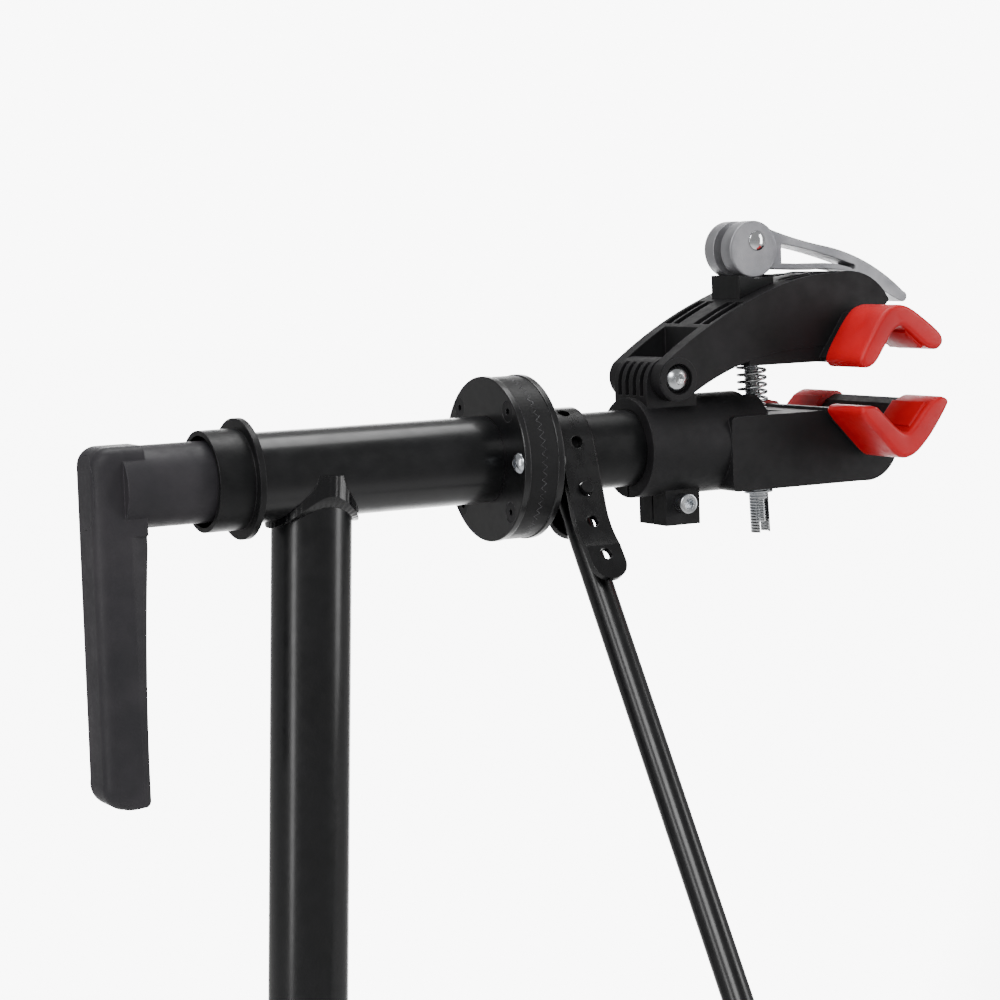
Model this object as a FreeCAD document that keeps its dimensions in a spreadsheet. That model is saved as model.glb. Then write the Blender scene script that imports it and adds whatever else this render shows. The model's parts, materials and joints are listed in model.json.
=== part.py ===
import FreeCAD, Part
import math
import os
import Sketcher

# Bicycle repair stand: folding beam base, sliding mast, turning clamp arm and quick-release jaws.

V = FreeCAD.Vector
UP = V(0, 0, 1)
ALONG_ARM = V(1, 0, 0)
ACROSS = V(0, 1, 0)

# ---------------------------------------------------------------- driving dimensions (mm, degrees)
SIZES = [
    ("arm_height", 1100, "crossing of the mast and arm axes above the floor"),
    ("arm_tilt", 3, "degrees the arm rises toward the jaws"),
    ("mast_radius", 19, "sliding mast, outside"),
    ("mast_bore", 17, "sliding mast, inside"),
    ("mast_foot", 330, "lower end of the sliding mast above the floor"),
    ("sleeve_radius", 22.5, "fixed lower mast, outside"),
    ("sleeve_bore", 20.6, "fixed lower mast, inside"),
    ("sleeve_top", 640, "top of the fixed lower mast"),
    ("sleeve_foot", 79, "bottom of the fixed lower mast"),
    ("head_radius", 21, "head tube, outside"),
    ("head_bore", 18.5, "head tube, inside"),
    ("head_left", -35.3, "crank end of the head tube"),
    ("flange_left", 92, "outer face of the mast-side flange"),
    ("flange_radius", 40.1, "lock flanges"),
    ("plate_thick", 3.5, "each steel flange plate"),
    ("ring_radius", 39.6, "toothed rings, outside"),
    ("ring_bore", 22, "toothed rings, inside"),
    ("ring_thick", 6.0, "toothed ring from its plate to the tooth roots"),
    ("tooth_height", 2.6, "axial height of the lock teeth"),
    ("tooth_gap", 0.25, "axial gap between the meshed rings"),
    ("bolt_circle", 34, "radius of the flange screw circle"),
    ("draw_radius", 6, "draw rod"),
    ("draw_flat", 4.6, "half width across the draw rod's flats"),
    ("tube_radius", 19, "clamp tube, outside"),
    ("tube_bore", 17, "clamp tube, inside"),
    ("tube_right", 222, "clamp tube end inside the jaw collar"),
    ("collar_radius", 25, "jaw collar, outside"),
    ("collar_bore", 19.06, "jaw collar, inside"),
    ("jaw_width", 51, "lower jaw across its cheeks"),
    ("upper_width", 47, "upper jaw across its cheeks"),
    ("bar_width", 116, "V bar, end to end"),
    ("cap_wall", 2.0, "soft jaw cap wall"),
    ("cap_start", 30, "inner end of a soft cap from the middle plane"),
    ("cap_end", 60.2, "outer end of a soft cap from the middle plane"),
    ("hinge_along", 189.4, "jaw hinge pin along the arm"),
    ("hinge_above", 34.1, "jaw hinge pin above the arm axis"),
    ("hinge_hole", 4.06, "hinge bolt hole radius"),
    ("bolt_radius", 4, "hinge bolt, clamp stud and cam pin shanks"),
    ("cam_radius", 14.3, "cam discs of the quick-release lever"),
    ("cam_along", 243.9, "cam disc centre along the arm"),
    ("cam_above", 96.35, "cam disc centre above the arm axis"),
    ("pin_along", 246.0, "cam pin along the arm"),
    ("pin_above", 100.5, "cam pin above the arm axis"),
    ("swivel_along", 251.2, "clamp stud swivel along the arm"),
    ("swivel_above", -26, "clamp stud swivel above the arm axis"),
    ("rod_along", 131.5, "stabiliser rod along the arm"),
    ("rod_lean", 31.9, "degrees the stabiliser rod leans from straight down"),
    ("rod_radius", 7.0, "stabiliser rod, outside"),
    ("rod_bore", 6.1, "stabiliser rod, inside"),
    ("inner_rod_radius", 6.0, "telescoping rod"),
    ("strap_width", 19, "perforated strap"),
    ("strap_thick", 3.2, "perforated strap"),
    ("beam_width", 60, "base beams across"),
    ("beam_height", 30, "base beams, top to bottom"),
    ("beam_wall", 2, "base beam tube wall"),
    ("fixed_beam_length", 1040, "upper base beam"),
    ("swing_beam_length", 900, "lower base beam"),
    ("fixed_beam_floor", 43, "underside of the upper beam above the floor"),
    ("swing_beam_floor", 12, "underside of the lower beam above the floor"),
    ("beam_splay", 35, "degrees from the arm's direction to each beam"),
]

doc = FreeCAD.newDocument("RepairStand")
sheet = doc.addObject("Spreadsheet::Sheet", "Sizes")
for row, (alias, value, note) in enumerate(SIZES, start=1):
    sheet.set("A%d" % row, note)
    sheet.set("B%d" % row, str(value))
    sheet.setAlias("B%d" % row, alias)
doc.recompute()


def mm(alias):
    """The sheet's value of one driving dimension."""
    return float(sheet.get(alias))


# ---------------------------------------------------------------- frames
WORLD = FreeCAD.Placement()
ARM = FreeCAD.Placement(V(0, 0, mm("arm_height")), FreeCAD.Rotation(ACROSS, -mm("arm_tilt")))
stud_lean = math.degrees(
    math.atan2(mm("swivel_along") - mm("pin_along"), mm("pin_above") - mm("swivel_above"))
)
stud_reach = math.hypot(mm("swivel_along") - mm("pin_along"), mm("pin_above") - mm("swivel_above"))
STUD = ARM.multiply(
    FreeCAD.Placement(
        V(mm("swivel_along"), 0, mm("swivel_above")), FreeCAD.Rotation(ACROSS, -stud_lean)
    )
)
ROD = ARM.multiply(
    FreeCAD.Placement(V(mm("rod_along"), 0, 0), FreeCAD.Rotation(ALONG_ARM, -mm("rod_lean")))
)
FIXED_BEAM = FreeCAD.Placement(V(0, 0, 0), FreeCAD.Rotation(UP, mm("beam_splay")))
SWING_BEAM = FreeCAD.Placement(V(0, 0, 0), FreeCAD.Rotation(UP, -mm("beam_splay")))

nodes = []


# ---------------------------------------------------------------- modelling helpers
def new_body(label, frame):
    """A part's own design body, placed in the stand."""
    body = doc.addObject("PartDesign::Body", label)
    body.Placement = frame
    nodes.append(body)
    return body


def new_sketch(body, role, offset=0.0):
    """A sketch on one of the body's own planes, offset along the plane's normal."""
    sketch = body.newObject("Sketcher::SketchObject", body.Name + "_sketch")
    plane = [part for part in body.Origin.OriginFeatures if part.Role == role][0]
    sketch.AttachmentSupport = (plane, [""])
    sketch.MapMode = "FlatFace"
    sketch.AttachmentOffset = FreeCAD.Placement(V(0, 0, offset), FreeCAD.Rotation())
    return sketch


def draw_loop(sketch, start, steps):
    """A closed loop: each step is a corner (x, y) or an arc ((middle), (end))."""
    first = sketch.GeometryCount
    here = start
    for step in steps + [start]:
        if isinstance(step[0], tuple):
            middle, end = step
            sketch.addGeometry(Part.ArcOfCircle(V(*here, 0), V(*middle, 0), V(*end, 0)))
            here = end
        elif math.hypot(step[0] - here[0], step[1] - here[1]) > 1e-6:
            sketch.addGeometry(Part.LineSegment(V(*here, 0), V(*step, 0)))
            here = step
    return first


def draw_circle(sketch, radius, centre=(0.0, 0.0)):
    """A circle whose radius is a sheet alias or a number."""
    value = mm(radius) if isinstance(radius, str) else radius
    index = sketch.addGeometry(Part.Circle(V(*centre, 0), UP, value))
    constraint = sketch.addConstraint(Sketcher.Constraint("Radius", index, value))
    if isinstance(radius, str):
        sketch.setExpression("Constraints[%d]" % constraint, "Sizes." + radius)
    return index


def draw_box(sketch, low, high):
    """An axis-aligned rectangle from its low corner to its high corner."""
    return draw_loop(sketch, low, [(high[0], low[1]), high, (low[0], high[1])])


def add_feature(body, kind, sketch, length, symmetric, flip=False):
    """A pad or pocket; length is a number or an expression on the sheet."""
    feature = body.newObject("PartDesign::" + kind, body.Name + "_" + kind.lower())
    feature.Profile = sketch
    if symmetric:
        feature.SideType = "Symmetric"
    if isinstance(length, str):
        feature.setExpression("Length", length)
    else:
        feature.Length = length
    feature.Reversed = flip
    sketch.Visibility = False
    return feature


def pad(body, sketch, length, symmetric=False, flip=False):
    return add_feature(body, "Pad", sketch, length, symmetric, flip)


def pocket(body, sketch, length, symmetric=False, flip=False):
    """A cut that must remove something: its volume is compared."""
    doc.recompute()
    before = body.Shape.Volume
    feature = add_feature(body, "Pocket", sketch, length, symmetric, flip)
    doc.recompute()
    if body.Shape.Volume > before - 1e-3:
        raise ValueError("pocket cut nothing in %s: %s, %.1f" % (body.Label, feature.State, before))
    return feature


def turned(label, frame, outline, role="XZ_Plane", axis="H_Axis"):
    """A lathe part: outline corners (along, radius); a radius may be a sheet alias."""
    body = new_body(label, frame)
    sketch = new_sketch(body, role)
    corners = [(u, mm(r) if isinstance(r, str) else r) for u, r in outline]
    draw_loop(sketch, corners[0], corners[1:])
    for index, (_, radius) in enumerate(outline):
        if isinstance(radius, str):
            number = sketch.addConstraint(
                Sketcher.Constraint("DistanceY", -1, 1, index, 1, mm(radius))
            )
            sketch.setExpression("Constraints[%d]" % number, "Sizes." + radius)
    turn = body.newObject("PartDesign::Revolution", label + "_turn")
    turn.Profile = sketch
    turn.ReferenceAxis = (sketch, [axis])
    turn.Angle = 360
    sketch.Visibility = False
    return body


def round_edges(body, radius, wanted):
    """Fillet every edge of the body's last shape that the test picks."""
    doc.recompute()
    tip = body.Tip
    names = [
        "Edge%d" % (number + 1) for number, edge in enumerate(tip.Shape.Edges) if wanted(edge)
    ]
    fillet = body.newObject("PartDesign::Fillet", body.Name + "_fillet")
    fillet.Base = (tip, names)
    fillet.Radius = radius
    doc.recompute()
    return fillet


def solid_node(label, shape, frame):
    """A node made by solid geometry; the placement comes after the shape."""
    feature = doc.addObject("Part::Feature", label)
    feature.Shape = shape
    feature.Placement = frame
    nodes.append(feature)
    return feature


def cylinder(radius, length, base, direction):
    return Part.makeCylinder(radius, length, base, direction)


def block(low, high):
    size = [high[i] - low[i] for i in range(3)]
    return Part.makeBox(size[0], size[1], size[2], V(*low))


def hexagon(across_flats, height, base, direction):
    """A six-sided prism centred on its axis."""
    radius = across_flats / math.sqrt(3)
    corners = [
        V(radius * math.cos(math.radians(60 * i)), radius * math.sin(math.radians(60 * i)), 0)
        for i in range(7)
    ]
    prism = Part.Face(Part.makePolygon(corners)).extrude(V(0, 0, height))
    prism.Placement = FreeCAD.Placement(base, FreeCAD.Rotation(UP, direction))
    return prism


def button_screw(shank, length, head, rise, socket, base, direction):
    """Domed socket screw: head outside the base point, shank going in along direction."""
    out = direction.negative()
    ball = (head * head + rise * rise) / (2 * rise)
    dome = Part.makeSphere(ball, base + out * (rise - ball)).common(
        cylinder(head, rise + 1, base, out)
    )
    screw = dome.fuse(cylinder(shank, length, base, direction))
    return screw.cut(hexagon(socket, rise, base + out * (rise * 0.3), out)).removeSplitter()


def hex_nut(across_flats, thickness, bore, base, direction):
    return hexagon(across_flats, thickness, base, direction).cut(
        cylinder(bore, thickness, base, direction)
    )


def inset(points, distance):
    """A closed polygon (counter-clockwise) moved inward by a distance."""
    moved = []
    count = len(points)
    for i in range(count):
        before, here, after = points[i - 1], points[i], points[(i + 1) % count]
        lines = []
        for a, b in ((before, here), (here, after)):
            length = math.hypot(b[0] - a[0], b[1] - a[1])
            normal = (-(b[1] - a[1]) / length, (b[0] - a[0]) / length)
            lines.append((normal, normal[0] * a[0] + normal[1] * a[1] + distance))
        (n1, c1), (n2, c2) = lines
        cross = n1[0] * n2[1] - n1[1] * n2[0]
        moved.append(((c1 * n2[1] - c2 * n1[1]) / cross, (n1[0] * c2 - n2[0] * c1) / cross))
    return moved


# ================================================================ BASE
# Two rectangular steel beams cross under the mast. The upper one carries the mast, the lower one
# swings about the centre bolt until both lie in line for storage.
def make_beam(label, frame, floor, length, hole):
    beam = new_body(label, frame)
    outer = new_sketch(beam, "YZ_Plane", -mm(length) / 2)
    half = mm("beam_width") / 2
    low, high = mm(floor), mm(floor) + mm("beam_height")
    wall = mm("beam_wall")
    draw_box(outer, (-half, low), (half, high))
    draw_box(outer, (-half + wall, low + wall), (half - wall, high - wall))
    pad(beam, outer, "Sizes." + length)
    bore = new_sketch(beam, "XY_Plane", low - 1)
    draw_circle(bore, hole)
    pocket(beam, bore, mm("beam_height") + 2, flip=True)
    return beam


fixed_beam = make_beam("fixed_beam", FIXED_BEAM, "fixed_beam_floor", "fixed_beam_length", 6.05)
swing_beam = make_beam("swing_beam", SWING_BEAM, "swing_beam_floor", "swing_beam_length", 6.08)

FOOT_LENGTH = 40
FOOT_OVERHANG = 2


def beam_feet(label, frame, floor, length):
    """A pair of rubber feet under the two ends of one beam."""
    half = mm("beam_width") / 2 + FOOT_OVERHANG
    reach = mm(length) / 2
    feet = []
    for side in (-1, 1):
        start = side * reach if side < 0 else reach - FOOT_LENGTH
        foot = block((start, -half, 0), (start + FOOT_LENGTH, half, mm(floor)))
        feet.append(foot.makeFillet(4, [e for e in foot.Edges if e.BoundBox.ZLength > 5]))
    return solid_node(label, Part.makeCompound(feet), frame)


beam_feet("fixed_beam_feet", FIXED_BEAM, "fixed_beam_floor", "fixed_beam_length")
beam_feet("swing_beam_feet", SWING_BEAM, "swing_beam_floor", "swing_beam_length")


def beam_plugs(label, frame, floor, length):
    """Push-in plastic plugs that close both ends of one beam."""
    wall = mm("beam_wall")
    half = mm("beam_width") / 2
    low, high = mm(floor), mm(floor) + mm("beam_height")
    reach = mm(length) / 2
    plugs = []
    for side in (-1, 1):
        face = side * reach
        cover = block((min(face, face + side * 3), -half, low), (max(face, face + side * 3), half, high))
        cover = cover.makeFillet(1.2, cover.Edges)
        spigot_low = min(face, face - side * 18)
        spigot = block(
            (spigot_low, -half + wall + 0.1, low + wall + 0.1),
            (spigot_low + 18, half - wall - 0.1, high - wall - 0.1),
        )
        plugs.append(spigot.fuse(cover).removeSplitter())
    return solid_node(label, Part.makeCompound(plugs), frame)


beam_plugs("fixed_beam_plugs", FIXED_BEAM, "fixed_beam_floor", "fixed_beam_length")
beam_plugs("swing_beam_plugs", SWING_BEAM, "swing_beam_floor", "swing_beam_length")

beam_top = mm("fixed_beam_floor") + mm("beam_height")
PLATE = (55, 28)
PLATE_BOLTS = [(sx * 45, sy * 17) for sx in (-1, 1) for sy in (-1, 1)]
foot_plate = new_body("mast_foot_plate", FIXED_BEAM)
plate_sketch = new_sketch(foot_plate, "XY_Plane", beam_top)
draw_box(plate_sketch, (-PLATE[0], -PLATE[1]), PLATE)
draw_circle(plate_sketch, 6.05)
for spot in PLATE_BOLTS:
    draw_circle(plate_sketch, 4.1, spot)
pad(foot_plate, plate_sketch, mm("sleeve_foot") - beam_top)
round_edges(foot_plate, 6, lambda e: e.BoundBox.ZLength > 5 and e.BoundBox.XLength < 0.01
            and abs(abs(e.CenterOfMass.x) - PLATE[0]) < 0.1)
solid_node(
    "mast_foot_bolts",
    Part.makeCompound([
        hexagon(13, 5.3, V(x, y, mm("sleeve_foot") + 0.02), UP).fuse(
            cylinder(4, 5.95 , V(x, y, mm("sleeve_foot") + 0.02), UP.negative())
        )
        for x, y in PLATE_BOLTS
    ]),
    FIXED_BEAM,
)
turned("beam_pivot_washer", WORLD,
       [(6.3, 42.05), (26, 42.05), (26, 42.95), (6.3, 42.95)], axis="V_Axis")
PIVOT_HEAD = (4.2, 11.7)
pivot_bolt = cylinder(11, PIVOT_HEAD[1] - PIVOT_HEAD[0], V(0, 0, PIVOT_HEAD[0]), UP)
pivot_bolt = pivot_bolt.fuse(cylinder(6, 92 - PIVOT_HEAD[1], V(0, 0, PIVOT_HEAD[1]), UP))
pivot_bolt = pivot_bolt.cut(hexagon(8, 4, V(0, 0, PIVOT_HEAD[0]), UP)).removeSplitter()
pivot_nut = hex_nut(18, 9, 6.05, V(0, 0, mm("sleeve_foot") + 0.05), UP)
solid_node("beam_pivot_bolt", Part.makeCompound([pivot_bolt, pivot_nut]), WORLD)

# ================================================================ LOWER MAST AND HEIGHT CLAMP
lower_mast = new_body("lower_mast_tube", WORLD)
lower_sketch = new_sketch(lower_mast, "XY_Plane", mm("sleeve_foot"))
draw_circle(lower_sketch, "sleeve_radius")
draw_circle(lower_sketch, "sleeve_bore")
pad(lower_mast, lower_sketch, "Sizes.sleeve_top - Sizes.sleeve_foot")

BUSHING_LENGTH = 80
turned("height_bushing", WORLD, [
    (19.06, mm("sleeve_top") - BUSHING_LENGTH), (20.55, mm("sleeve_top") - BUSHING_LENGTH),
    (20.55, mm("sleeve_top")), (19.06, mm("sleeve_top")),
], axis="V_Axis")

COLLAR_LOW, COLLAR_HIGH = 600, 646
EAR_DEPTH = 46
SLOT = 1.2
EAR = 10
CLAMP_LINE = (-38, 622)
collar = new_body("height_collar", WORLD)
collar_sketch = new_sketch(collar, "XY_Plane", COLLAR_LOW)
draw_circle(collar_sketch, 29)
pad(collar, collar_sketch, COLLAR_HIGH - COLLAR_LOW)
ear_sketch = new_sketch(collar, "XY_Plane", COLLAR_LOW + 8)
draw_box(ear_sketch, (-EAR, -EAR_DEPTH), (EAR, -20))
pad(collar, ear_sketch, 28)
collar_bore = new_sketch(collar, "XY_Plane", COLLAR_LOW)
draw_circle(collar_bore, 22.55)
pocket(collar, collar_bore, mm("sleeve_top") + 0.3 - COLLAR_LOW, flip=True)
lip_bore = new_sketch(collar, "XY_Plane", COLLAR_LOW)
draw_circle(lip_bore, 19.3)
pocket(collar, lip_bore, 60, flip=True)
slot_sketch = new_sketch(collar, "XY_Plane", COLLAR_LOW - 1)
draw_box(slot_sketch, (-SLOT, -EAR_DEPTH - 1), (SLOT, -18))
pocket(collar, slot_sketch, 60, flip=True)
clamp_hole = new_sketch(collar, "YZ_Plane")
draw_circle(clamp_hole, 4.06, CLAMP_LINE)
pocket(collar, clamp_hole, 40, symmetric=True)

LEVER_PIN = (17.5, CLAMP_LINE[0])
eye = cylinder(6, 8, V(LEVER_PIN[0], LEVER_PIN[1], CLAMP_LINE[1] - 4), UP)
bolt = cylinder(4, LEVER_PIN[0] + 17, V(-17, *CLAMP_LINE), ALONG_ARM).fuse(eye)
bolt = bolt.cut(cylinder(3.04, 12, V(*LEVER_PIN, CLAMP_LINE[1] - 6), UP))
clamp_nut = hex_nut(13, 5.5, 4.03, V(-EAR - 0.1, *CLAMP_LINE), ALONG_ARM.negative())
solid_node("height_clamp_bolt", Part.makeCompound([bolt.removeSplitter(), clamp_nut]), WORLD)
solid_node("height_lever_pin", cylinder(3, 26, V(*LEVER_PIN, CLAMP_LINE[1] - 13), UP), WORLD)
LEVER_ANGLE = 50
lever_frame = FreeCAD.Placement(V(*LEVER_PIN, CLAMP_LINE[1]), FreeCAD.Rotation(UP, LEVER_ANGLE))
lever = new_body("height_lever", lever_frame)
lever_sketch = new_sketch(lever, "XY_Plane")
draw_loop(lever_sketch, (0, -7), [
    (30, -6), ((60, -4), (88, 3)), ((90, 7), (86, 8)), ((58, 2.5), (30, 4)), (0, 7),
    ((-7, 0), (0, -7)),
])
pad(lever, lever_sketch, 22, symmetric=True)
lever_slot = new_sketch(lever, "XY_Plane")
draw_box(lever_slot, (-10, -10), (9, 10))
pocket(lever, lever_slot, 8.8, symmetric=True)
lever_hole = new_sketch(lever, "XY_Plane")
draw_circle(lever_hole, 3.05)
pocket(lever, lever_hole, 40, symmetric=True)

# ================================================================ SLIDING MAST AND HEAD
mast_outer = doc.addObject("Part::Cylinder", "mast_outer")
mast_outer.setExpression("Radius", "Sizes.mast_radius")
mast_outer.setExpression("Height", "Sizes.arm_height - Sizes.mast_foot")
mast_outer.Placement.Base = V(0, 0, mm("mast_foot"))
mast_inner = doc.addObject("Part::Cylinder", "mast_inner")
mast_inner.setExpression("Radius", "Sizes.mast_bore")
mast_inner.setExpression("Height", "Sizes.arm_height - Sizes.mast_foot")
mast_inner.Placement.Base = V(0, 0, mm("mast_foot"))
mast_wall = doc.addObject("Part::Cut", "mast_wall")
mast_wall.Base = mast_outer
mast_wall.Tool = mast_inner
head_shadow = doc.addObject("Part::Cylinder", "head_shadow")
head_shadow.setExpression("Radius", "Sizes.head_radius")
head_shadow.Height = 200
head_shadow.Placement = ARM.multiply(
    FreeCAD.Placement(V(-100, 0, 0), FreeCAD.Rotation(UP, ALONG_ARM))
)
mast = doc.addObject("Part::Cut", "mast_tube")
mast.Base = mast_wall
mast.Tool = head_shadow
nodes.append(mast)

WELD_LEG = 3
bead = cylinder(mm("mast_radius") + WELD_LEG, 60, V(0, 0, mm("arm_height") - 60), UP).cut(
    cylinder(mm("mast_radius") + 0.03, 60, V(0, 0, mm("arm_height") - 60), UP)
)
band = cylinder(mm("head_radius") + WELD_LEG, 200, V(-100, 0, 0), ALONG_ARM).cut(
    cylinder(mm("head_radius") + 0.03, 200, V(-100, 0, 0), ALONG_ARM)
)
band.Placement = ARM
solid_node("mast_weld", bead.common(band), WORLD)

FLANGE_LEFT = mm("flange_left")
turned("head_tube", ARM, [
    (mm("head_left"), "head_bore"), (FLANGE_LEFT - 0.05, "head_bore"),
    (FLANGE_LEFT - 0.05, "head_radius"), (mm("head_left"), "head_radius"),
])
ROD_RUN = mm("draw_radius") + 0.08
BUSH_LIP = 3
CUP = {"outer": 23.5, "inner": 21.2, "left": -56, "floor": -42}
BUSH_FLANGE = 28.15
bush_face = mm("head_left") - BUSH_LIP
turned("head_end_bush", ARM, [
    (-15, ROD_RUN), (-15, 18.46), (mm("head_left") - 0.02, 18.46), (mm("head_left") - 0.02, BUSH_FLANGE),
    (bush_face, BUSH_FLANGE), (bush_face, CUP["outer"]), (CUP["left"], CUP["outer"]),
    (CUP["left"], CUP["inner"]), (CUP["floor"], CUP["inner"]), (CUP["floor"], ROD_RUN),
])

# ---------------------------------------------------------------- crank handle and draw rod
HUB_FACE = -44.2
turned("handle_thrust_washer", ARM, [
    (-43.9, 6.3), (-43.9, 17), (-42.1, 17), (-42.1, 6.3),
])
handle = new_body("crank_handle", ARM)
HANDLE_OUTER, HANDLE_INNER, HANDLE_HALF = -112.0, -87.6, 13.4
hub_sketch = new_sketch(handle, "YZ_Plane", HANDLE_OUTER + 14)
draw_circle(hub_sketch, 18.8)
pad(handle, hub_sketch, HUB_FACE - HANDLE_OUTER - 14)
grip_sketch = new_sketch(handle, "XZ_Plane")
draw_loop(grip_sketch, (HANDLE_INNER, 19.4), [
    (-103.0, 19.4), ((-109.36, 16.76), (HANDLE_OUTER, 10.4)), (-112.8, -132),
    ((-110.8, -140.6), (-103.4, -144.6)), (-95.4, -143.8), ((-92.8, -143.0), (-92.0, -140.6)),
    ((-91.6, -100), (HANDLE_INNER, -27)),
])
pad(handle, grip_sketch, 2 * HANDLE_HALF, symmetric=True)
NUT_SEAT = -56
NUT_CORNER = 11.2
nut_pocket = new_sketch(handle, "YZ_Plane", HUB_FACE)
draw_loop(nut_pocket, (0, NUT_CORNER), [
    (-NUT_CORNER * math.sin(math.radians(60 * i)), NUT_CORNER * math.cos(math.radians(60 * i)))
    for i in range(1, 6)
])
pocket(handle, nut_pocket, HUB_FACE - NUT_SEAT)
rod_well = new_sketch(handle, "YZ_Plane", HUB_FACE)
draw_circle(rod_well, 7)
pocket(handle, rod_well, 46)
# the inner half of both broad faces slopes away from a straight crease below the hub
CREASE = -95.5
FACET_TOP, FACET_LOW, FACET_DEPTH = -21, -150, 1.7
facets = new_sketch(handle, "XY_Plane", FACET_TOP)
for side in (-1, 1):
    draw_loop(facets, (CREASE, side * HANDLE_HALF), [
        (CREASE, side * (HANDLE_HALF + 3)), (-80, side * (HANDLE_HALF + 3)),
        (-80, side * (HANDLE_HALF - FACET_DEPTH * (CREASE + 80) / (CREASE - HANDLE_INNER))),
    ])
pocket(handle, facets, FACET_TOP - FACET_LOW)
round_edges(handle, 6, lambda e: abs(abs(e.CenterOfMass.y) - HANDLE_HALF) < 0.01
            and e.CenterOfMass.x < -102)
# the oval end cap is the outer slice of the grip, set into a recess of its own outline
CAP_HALF, CAP_TOP, CAP_LOW, CAP_DEPTH, CAP_GAP = 10.4, 16.0, -17.6, 3.6, 0.15
blank = handle.Tip.Shape.copy()


def cap_oval(half, start):
    """An upright oval prism that reaches outward from a plane across the handle."""
    span = V(4 * CAP_DEPTH, 0, 0)
    top, low = V(start, 0, CAP_TOP - CAP_HALF), V(start, 0, CAP_LOW + CAP_HALF)
    prism = Part.makeCylinder(half, span.x, top, ALONG_ARM.negative())
    prism = prism.fuse(Part.makeCylinder(half, span.x, low, ALONG_ARM.negative()))
    return prism.fuse(block((start - span.x, -half, low.z), (start, half, top.z))).removeSplitter()


cap_seat = HANDLE_OUTER + CAP_DEPTH
solid_node("handle_end_cap", blank.common(cap_oval(CAP_HALF - CAP_GAP, cap_seat)), ARM)
recess_sketch = new_sketch(handle, "YZ_Plane", cap_seat)
draw_loop(recess_sketch, (-CAP_HALF, CAP_LOW + CAP_HALF), [
    ((0, CAP_LOW), (CAP_HALF, CAP_LOW + CAP_HALF)), (CAP_HALF, CAP_TOP - CAP_HALF),
    ((0, CAP_TOP), (-CAP_HALF, CAP_TOP - CAP_HALF)),
])
pocket(handle, recess_sketch, 3 * CAP_DEPTH)
solid_node("handle_nut", hex_nut(19.2, 10, mm("draw_radius") + 0.06,
                                 V(NUT_SEAT + 0.1, 0, 0), ALONG_ARM), ARM)

ROD_LEFT, ROD_SHOULDER, ROD_END = -76, 116.4, 122.4
rod_body = turned("draw_rod", ARM, [
    (ROD_LEFT, 0), (ROD_LEFT, "draw_radius"), (ROD_SHOULDER, "draw_radius"), (ROD_SHOULDER, 11.5),
    (ROD_END, 11.5), (ROD_END, 0),
])
for side in (-1, 1):
    side_sketch = new_sketch(rod_body, "XZ_Plane", side * mm("draw_flat"))
    draw_box(side_sketch, (48, -7), (86, 7))
    pocket(rod_body, side_sketch, 4, flip=side > 0)
guide = new_body("draw_rod_guide", ARM)
guide_sketch = new_sketch(guide, "YZ_Plane", 66)
draw_circle(guide_sketch, 18.46)
flat = mm("draw_flat") + 0.07
rise = math.sqrt(ROD_RUN ** 2 - flat ** 2)
draw_loop(guide_sketch, (flat, -rise), [(flat, rise), ((0, ROD_RUN), (-flat, rise)), (-flat, -rise),
                                        ((0, -ROD_RUN), (flat, -rise))])
pad(guide, guide_sketch, 10)
turned("clamp_thrust_washer", ARM, [
    (114.1, 6.3), (114.1, 15), (116.2, 15), (116.2, 6.3),
])

# ---------------------------------------------------------------- toothed rotation lock
TEETH = 60
PLATE_THICK = mm("plate_thick")
RING_BACK = FLANGE_LEFT + PLATE_THICK
ROOT = RING_BACK + mm("ring_thick")
RIGHT_BACK = ROOT + mm("tooth_gap") + mm("tooth_height") + mm("ring_thick")
FLANGE_RIGHT = RIGHT_BACK + PLATE_THICK
DARK_SCREWS = [45, 135, 225, 315]
BRIGHT_SCREWS = [0, 180]


def on_bolt_circle(along, degrees):
    angle = math.radians(degrees)
    return V(along, mm("bolt_circle") * math.cos(angle), mm("bolt_circle") * math.sin(angle))


def tooth_ring(label, back, root, tip):
    """A ring whose one face is cut with straight radial teeth; tip lies beyond root."""
    outer, inner = mm("ring_radius"), mm("ring_bore")

    def corner(radius, step, along):
        angle = math.pi * step / TEETH
        return V(along, radius * math.cos(angle), radius * math.sin(angle))

    def tooth_edge(radius, step):
        return corner(radius, step, tip if step % 2 == 0 else root)

    faces = []
    for step in range(2 * TEETH):
        after = (step + 1) % (2 * TEETH)
        o1, o2 = tooth_edge(outer, step), tooth_edge(outer, after)
        i1, i2 = tooth_edge(inner, step), tooth_edge(inner, after)
        b1, b2 = corner(outer, step, back), corner(outer, after, back)
        c1, c2 = corner(inner, step, back), corner(inner, after, back)
        for loop in ((o1, o2, i2), (o1, i2, i1), (o1, o2, b2, b1), (i1, i2, c2, c1), (b1, b2, c2, c1)):
            faces.append(Part.Face(Part.makePolygon(list(loop) + [loop[0]])))
    ring = Part.makeSolid(Part.makeShell(faces))
    if ring.Volume < 0:
        ring.reverse()
    inward = ALONG_ARM if root > back else ALONG_ARM.negative()
    depth = abs(root - back) - 0.8
    for degrees in DARK_SCREWS + BRIGHT_SCREWS:
        ring = ring.cut(cylinder(2.55, depth, on_bolt_circle(back, degrees), inward))
    return solid_node(label, ring, ARM)


tooth_ring("mast_tooth_ring", RING_BACK + 0.02, ROOT + mm("tooth_height"), ROOT)
tooth_ring("clamp_tooth_ring", RIGHT_BACK - 0.02, ROOT + mm("tooth_gap") + mm("tooth_height"),
           ROOT + mm("tooth_gap"))


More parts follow.
